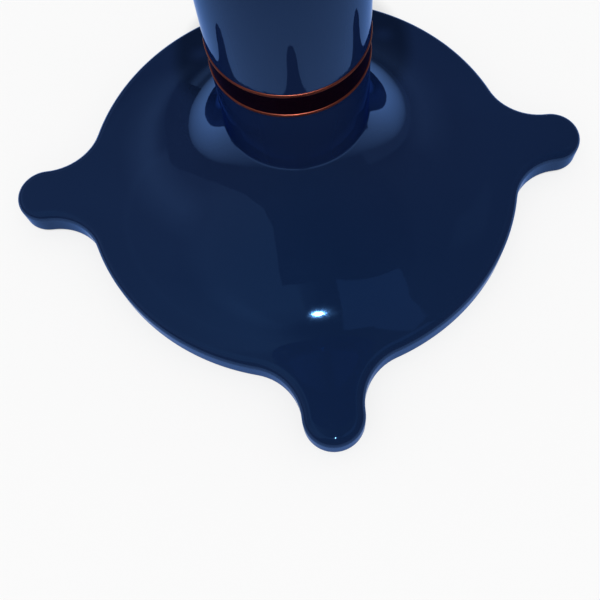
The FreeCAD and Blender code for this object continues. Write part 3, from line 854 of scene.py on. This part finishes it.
def screw_ring_tree():
    """Countersunk hexagon-socket screws on a circle, heads up; a tilt of half a turn turns them over."""
    group, source, sink = named_group("screw_ring", "GeometryNodeTree", [
        ("Count", "NodeSocketInt", 4),
        ("Circle", "NodeSocketFloat", 0.025),
        ("Shank Radius", "NodeSocketFloat", 0.0025),
        ("Head Radius", "NodeSocketFloat", 0.005),
        ("Sink", "NodeSocketFloat", 0.0025),
        ("Length", "NodeSocketFloat", 0.017),
        ("Height", "NodeSocketFloat", 0.5),
        ("Tilt", "NodeSocketFloat", 0.0),
        ("Material", "NodeSocketMaterial", None),
    ], [("Geometry", "NodeSocketGeometry")])
    nodes = group.nodes
    given = source.outputs

    def times(item, share):
        return arithmetic(group, "MULTIPLY", item, share)

    def vector(x=0.0, z=0.0):
        node = nodes.new("ShaderNodeCombineXYZ")
        feed(group, x, node.inputs["X"])
        feed(group, z, node.inputs["Z"])
        return node.outputs["Vector"]

    def raised(geometry, height):
        node = nodes.new("GeometryNodeTransform")
        wire(group, geometry, node.inputs["Geometry"])
        wire(group, vector(z=height), node.inputs["Translation"])
        return node.outputs["Geometry"]

    def primitive(kind, sizes):
        node = nodes.new(kind)
        for name, item in sizes.items():
            feed(group, item, node.inputs[name])
        return node.outputs["Mesh"]

    # The primitives stand on z = 0 or about it, so each is moved to have the head's face at z = 0.
    # The shank starts inside the head and is a little thinner, so that the two meet in a clean edge.
    head = primitive("GeometryNodeMeshCone", {
        "Vertices": SCREW_SIDES, "Radius Top": given["Head Radius"],
        "Radius Bottom": times(given["Shank Radius"], HEAD_TIP), "Depth": given["Sink"]})
    shank_start = times(given["Sink"], SHANK_START)
    shank_length = arithmetic(group, "SUBTRACT", given["Length"], shank_start)
    shank_middle = arithmetic(group, "ADD", shank_start, times(shank_length, 0.5))
    shank = primitive("GeometryNodeMeshCylinder", {
        "Vertices": SCREW_SIDES, "Radius": given["Shank Radius"], "Depth": shank_length})
    socket = primitive("GeometryNodeMeshCylinder", {
        "Vertices": HEXAGON, "Radius": times(given["Head Radius"], SOCKET_WIDTH),
        "Depth": times(given["Sink"], SOCKET_LENGTH)})

    solid = nodes.new("GeometryNodeMeshBoolean")
    solid.operation = "UNION"
    for mesh, depth in ((head, given["Sink"]), (shank, shank_middle)):
        wire(group, raised(mesh, times(depth, -1.0)), solid.inputs["Mesh 2"])
    hollowed = nodes.new("GeometryNodeMeshBoolean")
    hollowed.operation = "DIFFERENCE"
    wire(group, solid.outputs["Mesh"], hollowed.inputs["Mesh 1"])
    wire(group, socket, hollowed.inputs["Mesh 2"])
    joined = nodes.new("GeometryNodeMergeByDistance")
    joined.inputs["Distance"].default_value = WELD
    wire(group, hollowed.outputs["Mesh"], joined.inputs["Geometry"])

    circle = nodes.new("GeometryNodeMeshCircle")
    wire(group, given["Count"], circle.inputs["Vertices"])
    wire(group, given["Circle"], circle.inputs["Radius"])
    place = nodes.new("GeometryNodeInstanceOnPoints")
    wire(group, circle.outputs["Mesh"], place.inputs["Points"])
    wire(group, joined.outputs["Geometry"], place.inputs["Instance"])
    wire(group, vector(x=given["Tilt"]), place.inputs["Rotation"])
    realize = nodes.new("GeometryNodeRealizeInstances")
    wire(group, raised(place.outputs["Instances"], given["Height"]), realize.inputs["Geometry"])
    paint = nodes.new("GeometryNodeSetMaterial")
    wire(group, realize.outputs["Geometry"], paint.inputs["Geometry"])
    wire(group, given["Material"], paint.inputs["Material"])
    wire(group, paint.outputs["Geometry"], sink.inputs["Geometry"])
    return group


def screw_ring(name, node, **values):
    """A ring of screws made by the tree, turned into a plain mesh that stands for its node."""
    tree = bpy.data.node_groups.get("screw_ring") or screw_ring_tree()
    piece = placed(name, bpy.data.meshes.new(name))
    modifier = piece.modifiers.new("screws", "NODES")
    modifier.node_group = tree
    identifiers = {
        item.name: item.identifier for item in tree.interface.items_tree if item.in_out == "INPUT"}
    for key, item in values.items():
        modifier[identifiers[key.replace("_", " ").title()]] = item
    modifier[identifiers["Material"]] = finish_for("zinc_steel")
    settle(piece)
    stand_in_for(piece, node, STAND, "zinc_steel")


class PEDESTAL_OT_screws(bpy.types.Operator):
    """Make the countersunk screws of the flange and of the base cover"""

    bl_idname = "pedestal.screws"
    bl_label = "Screws"

    def execute(self, context):
        sizes = context.scene.pedestal_screws
        screw_ring(
            "flange_socket_screws", "flange_screws", count=sizes.flange_count, circle=sizes.flange_circle,
            shank_radius=sizes.flange_shank, head_radius=sizes.flange_head, sink=sizes.flange_sink,
            length=high("flange_screws") - low("flange_screws"), height=high("flange_screws"), tilt=0.0)
        screw_ring(
            "cover_socket_screws", "cover_screws", count=sizes.cover_count, circle=sizes.cover_circle,
            shank_radius=sizes.cover_shank, head_radius=sizes.cover_head, sink=sizes.cover_sink,
            length=high("cover_screws") - low("cover_screws"), height=low("cover_screws"), tilt=math.pi)
        return {"FINISHED"}


# ------------------------ the glides

class PEDESTAL_OT_glides(bpy.types.Operator):
    """Make the swivelling pads that stand on the floor"""

    bl_idname = "pedestal.glides"
    bl_label = "Glides"

    def execute(self, context):
        turned = context.scene.pedestal_turned
        for number in TOE_NUMBERS:
            node = f"glide_pad_{number}"
            outer, top = half_width(node), high(node)
            corners = [
                (turned.pad_bore, top, 0), (turned.pad_bore, turned.pad_recess_depth, 0),
                (turned.pad_recess, turned.pad_recess_depth, 0), (turned.pad_recess, 0, 0),
                (outer, 0, turned.pad_round), (outer, top, turned.pad_round / 2),
            ]
            pad = turned_piece(f"swivel_pad_{number}", corners, PAD_COLUMNS, middle(node))
            stand_in_for(pad, node, f"glide_{number}", "glide_nylon")
        return {"FINISHED"}


# ------------------------ CAD pieces that are shown as they are

class PEDESTAL_OT_hardware(bpy.types.Operator):
    """Give the carried-over pieces the finishes of their slots"""

    bl_idname = "pedestal.hardware"
    bl_label = "Hardware finishes"

    def execute(self, context):
        for entry in frame["record"]["subparts"]:
            dress(frame["nodes"][entry["node"]], entry["material_slot"])
        return {"FINISHED"}


# ------------------------ the stage

def around_origin(azimuth, elevation, distance):
    """A place seen from the origin, with azimuth 0 along +X."""
    reach = distance * math.cos(elevation)
    return Vector((reach * math.cos(azimuth), reach * math.sin(azimuth), distance * math.sin(elevation)))


def pale_floor(stage):
    """A pale floor that melts into the background far away and lets a camera under it see the underside.

    What gloss mirrors of it is painted darker away from a painted pool of light round the piece.
    """
    half = stage.floor_size / 2
    corners = [(-half, -half, 0), (half, -half, 0), (half, half, 0), (-half, half, 0)]
    mesh = bpy.data.meshes.new("floor")
    mesh.from_pydata(corners, [], [(0, 1, 2, 3)])
    floor = placed("floor", mesh)
    material, tree, shader = new_material("pale floor")
    give(shader, {
        "Roughness": 0.9, "Specular IOR Level": 0.0, "Emission Color": (*(stage.background,) * 3, 1)})
    place = tree.nodes.new("ShaderNodeTexCoord").outputs["Object"]
    # Painted pool of light: the floor's colour as gloss mirrors it is painted darker with distance from this
    # centre.
    apart = vector_arithmetic(tree, "DISTANCE", place, (0, stage.pool_back, 0))["Value"]
    pool = remap(tree, apart, stage.pool_radius, stage.pool_edge, 1.0, stage.pool_low)
    dimmed = mix_colour(tree, pool, (0, 0, 0), stage.floor_colour)
    path = tree.nodes.new("ShaderNodeLightPath")
    surface = mix_colour(tree, path.outputs["Is Glossy Ray"], stage.floor_colour, dimmed)
    fade_end = 3 * stage.floor_fade
    far = remap(tree, apart, stage.floor_fade, fade_end, stage.floor_glow, 1.0)
    glow = arithmetic(tree, "MULTIPLY", far, path.outputs["Is Camera Ray"])
    wire(tree, mix_colour(tree, glow, surface, (0, 0, 0)), shader.inputs["Base Color"])
    wire(tree, glow, shader.inputs["Emission Strength"])
    side = tree.nodes.new("ShaderNodeNewGeometry")
    wire(tree, arithmetic(tree, "SUBTRACT", 1.0, side.outputs["Backfacing"]), shader.inputs["Alpha"])
    mesh.materials.append(material)


# The lit walls of the room as gloss mirrors them: middle azimuth, half width, lowest and highest
# elevation and softness in degrees, then radiance.  Azimuth 0 is along +X.
ROOM_WALLS = {
    "left wall": (196, 58, 4, 84, 2, 0.11),
    "left wall, near part": (222, 42, 4, 84, 9, 0.10),
    "left wall, far part": (125, 14, 20, 84, 3, 0.11),
    "left wall, far foot": (145, 30, 18, 36, 7, 0.20),
    "left wall, skirting": (118, 18, 1, 10, 3, 0.25),
    "left ceiling": (150, 50, 66, 84, 6, 0.10),
    "right wall": (50, 62, 2, 80, 5, 0.03),
    "right wall, foot": (55, 25, 1, 20, 9, 0.10),
    "right window": (30, 13, 51, 60, 1.5, 0.05),
}


def direction_mask(tree, direction, wall):
    """1 where a direction meets the wall and 0 elsewhere."""
    middle_azimuth, half, lowest, highest, softness, _ = wall
    turn = math.radians(middle_azimuth)
    flat = vector_arithmetic(tree, "MULTIPLY", direction, (1, 1, 0))["Vector"]
    heading = vector_arithmetic(tree, "NORMALIZE", flat)["Vector"]
    along = vector_arithmetic(tree, "DOT_PRODUCT", heading, (math.cos(turn), math.sin(turn), 0))["Value"]
    split = tree.nodes.new("ShaderNodeSeparateXYZ")
    wire(tree, direction, split.inputs[0])

    def step(value, curve, angle, rising):
        ends = sorted((curve(math.radians(angle - softness)), curve(math.radians(angle + softness))))
        return remap(tree, value, ends[0], ends[1], 0.0 if rising else 1.0, 1.0 if rising else 0.0)

    sideways = step(along, math.cos, half, True)
    upwards = step(split.outputs["Z"], math.sin, lowest, True)
    below = step(split.outputs["Z"], math.sin, highest, False)
    return arithmetic(tree, "MULTIPLY", sideways, arithmetic(tree, "MULTIPLY", upwards, below))


def studio_world(stage):
    """Pale for the camera, lit walls in a dark room for gloss, and an even fill for everything else."""
    world = bpy.data.worlds.new("studio")
    bpy.context.scene.world = world
    world.use_nodes = True
    tree = world.node_tree
    background = tree.nodes["Background"]
    direction = tree.nodes.new("ShaderNodeTexCoord").outputs["Generated"]
    room = stage.room_tone
    for wall in ROOM_WALLS.values():
        lit = arithmetic(tree, "MULTIPLY", direction_mask(tree, direction, wall), wall[-1])
        room = arithmetic(tree, "ADD", lit, room)
    path = tree.nodes.new("ShaderNodeLightPath")
    seen = mix_colour(tree, path.outputs["Is Glossy Ray"], (stage.fill,) * 3, room)
    seen = mix_colour(tree, path.outputs["Is Camera Ray"], seen, (stage.background,) * 3)
    wire(tree, seen, background.inputs["Color"])


def overhead_lamp(stage):
    """A small lamp almost straight overhead, a little to the front: it gives the point highlight
    and the shadows.

    Gloss shows it once: the base doesn't mirror the column's highlight.
    """
    second_mirror = 1.5     # a glossy depth between the first mirror image and the second
    place = around_origin(stage.lamp_azimuth, stage.lamp_elevation, stage.lamp_distance)
    data = bpy.data.lights.new("overhead lamp", "AREA")
    data.shape = "DISK"
    data.size = 2 * stage.lamp_radius
    data.energy = stage.lamp_level * math.pi ** 2 * stage.lamp_distance ** 2
    data.use_nodes = True
    tree = data.node_tree
    path = tree.nodes.new("ShaderNodeLightPath")
    seen_once = arithmetic(tree, "LESS_THAN", path.outputs["Glossy Depth"], second_mirror)
    wire(tree, seen_once, tree.nodes["Emission"].inputs["Strength"])
    light = placed("overhead lamp", data)
    light.location = place
    light.rotation_euler = place.to_track_quat("Z", "Y").to_euler()


# Corners of a dim skylight three metres up, which gloss shows as a patch with straight edges.
SKYLIGHT_HEIGHT = 3.0
SKYLIGHT = (
    (0.48, -1.62), (1.60, -0.66), (0.94, 0.12), (0.60, 0.85), (0.46, 0.91), (0.42, 0.19), (0.21, 0.04),
)


def seen_by_gloss_alone(panel):
    """Hides a panel of the stage from everything but mirror images."""
    for ray in ("camera", "diffuse", "transmission", "volume_scatter", "shadow"):
        setattr(panel, "visible_" + ray, False)


def skylight(stage):
    """A dim patch of light high over the right."""
    bm = bmesh.new()
    bm.faces.new([bm.verts.new((x, y, SKYLIGHT_HEIGHT)) for x, y in SKYLIGHT])
    panel = add_piece("skylight", bm)
    material, _, shader = new_material("skylight")
    give(shader, {
        "Base Color": BLACK, "Specular IOR Level": 0.0,
        "Emission Color": (*stage.skylight_colour, 1), "Emission Strength": 1.0})
    panel.data.materials.append(material)
    seen_by_gloss_alone(panel)


# The top of the dark screen, as (azimuth in degrees, height): low furniture round the left,
# rising to someone who leans over the front.
SCREEN_TOP = (
    (118, 0.15), (139, 0.11), (150, 0.125), (161, 0.09), (179, 0.075), (208, 0.11), (229, 0.165),
    (239, 0.25), (243, 0.40), (244, 0.72), (343, 0.72),
)


def dark_screen(stage):
    """What gloss mirrors as dark between the floor and the lit walls, a strip for every degree."""
    bm = bmesh.new()
    feet, tops = [], []
    for (first, start), (last, end) in zip(SCREEN_TOP, SCREEN_TOP[1:]):
        for azimuth in range(first, last):
            height = start + (end - start) * (azimuth - first) / (last - first)
            x, y, _ = around_origin(math.radians(azimuth), 0, stage.screen_radius)
            feet.append(bm.verts.new((x, y, 0)))
            tops.append(bm.verts.new((x, y, height)))
    for index in range(len(feet) - 1):
        bm.faces.new([feet[index], feet[index + 1], tops[index + 1], tops[index]])
    screen = add_piece("dark_screen", bm)
    material, _, shader = new_material("dark screen")
    give(shader, {"Base Color": (*stage.screen_colour, 1), "Roughness": 1.0, "Specular IOR Level": 0.0})
    screen.data.materials.append(material)
    seen_by_gloss_alone(screen)


def main_camera(stage):
    """The camera that looks down on the base from the front."""
    data = bpy.data.cameras.new("camera")
    camera = placed("camera", data)
    bpy.context.scene.camera = camera
    data.lens = stage.lens
    data.clip_start = 0.02
    data.shift_x, data.shift_y = stage.camera_shift
    camera.location = around_origin(
        stage.camera_azimuth - math.pi / 2, stage.camera_elevation, stage.camera_distance)
    camera.rotation_euler = stage.camera_turn


class PEDESTAL_OT_stage(bpy.types.Operator):
    """Make the pale floor, the soft studio light and the camera"""

    bl_idname = "pedestal.stage"
    bl_label = "Stage"

    def execute(self, context):
        stage = context.scene.pedestal_stage
        context.scene.view_settings.view_transform = "Standard"
        pale_floor(stage)
        studio_world(stage)
        overhead_lamp(stage)
        skylight(stage)
        dark_screen(stage)
        main_camera(stage)
        return {"FINISHED"}


# ------------------------ add-on

OPERATORS = (
    PEDESTAL_OT_hardware,
    PEDESTAL_OT_base,
    PEDESTAL_OT_neck,
    PEDESTAL_OT_column,
    PEDESTAL_OT_flange,
    PEDESTAL_OT_screws,
    PEDESTAL_OT_glides,
    PEDESTAL_OT_stage,
)


class PEDESTAL_PT_panel(bpy.types.Panel):
    """Lists the pedestal's pieces"""

    bl_idname = "PEDESTAL_PT_panel"
    bl_label = "Pedestal stand"
    bl_space_type = "VIEW_3D"
    bl_region_type = "UI"
    bl_category = "Pedestal"

    def draw(self, context):
        for operator in OPERATORS:
            self.layout.operator(operator.bl_idname)


CLASSES = (*SETTING_GROUPS.values(), *OPERATORS, PEDESTAL_PT_panel)


def register():
    for item in CLASSES:
        bpy.utils.register_class(item)
    for name, group in SETTING_GROUPS.items():
        setattr(bpy.types.Scene, name, PointerProperty(type=group))


def unregister():
    for name in SETTING_GROUPS:
        delattr(bpy.types.Scene, name)
    for item in reversed(CLASSES):
        bpy.utils.unregister_class(item)


def main():
    register()
    for operator in OPERATORS:
        category, name = operator.bl_idname.split(".")
        getattr(getattr(bpy.ops, category), name)()


if __name__ == "__main__":
    main()
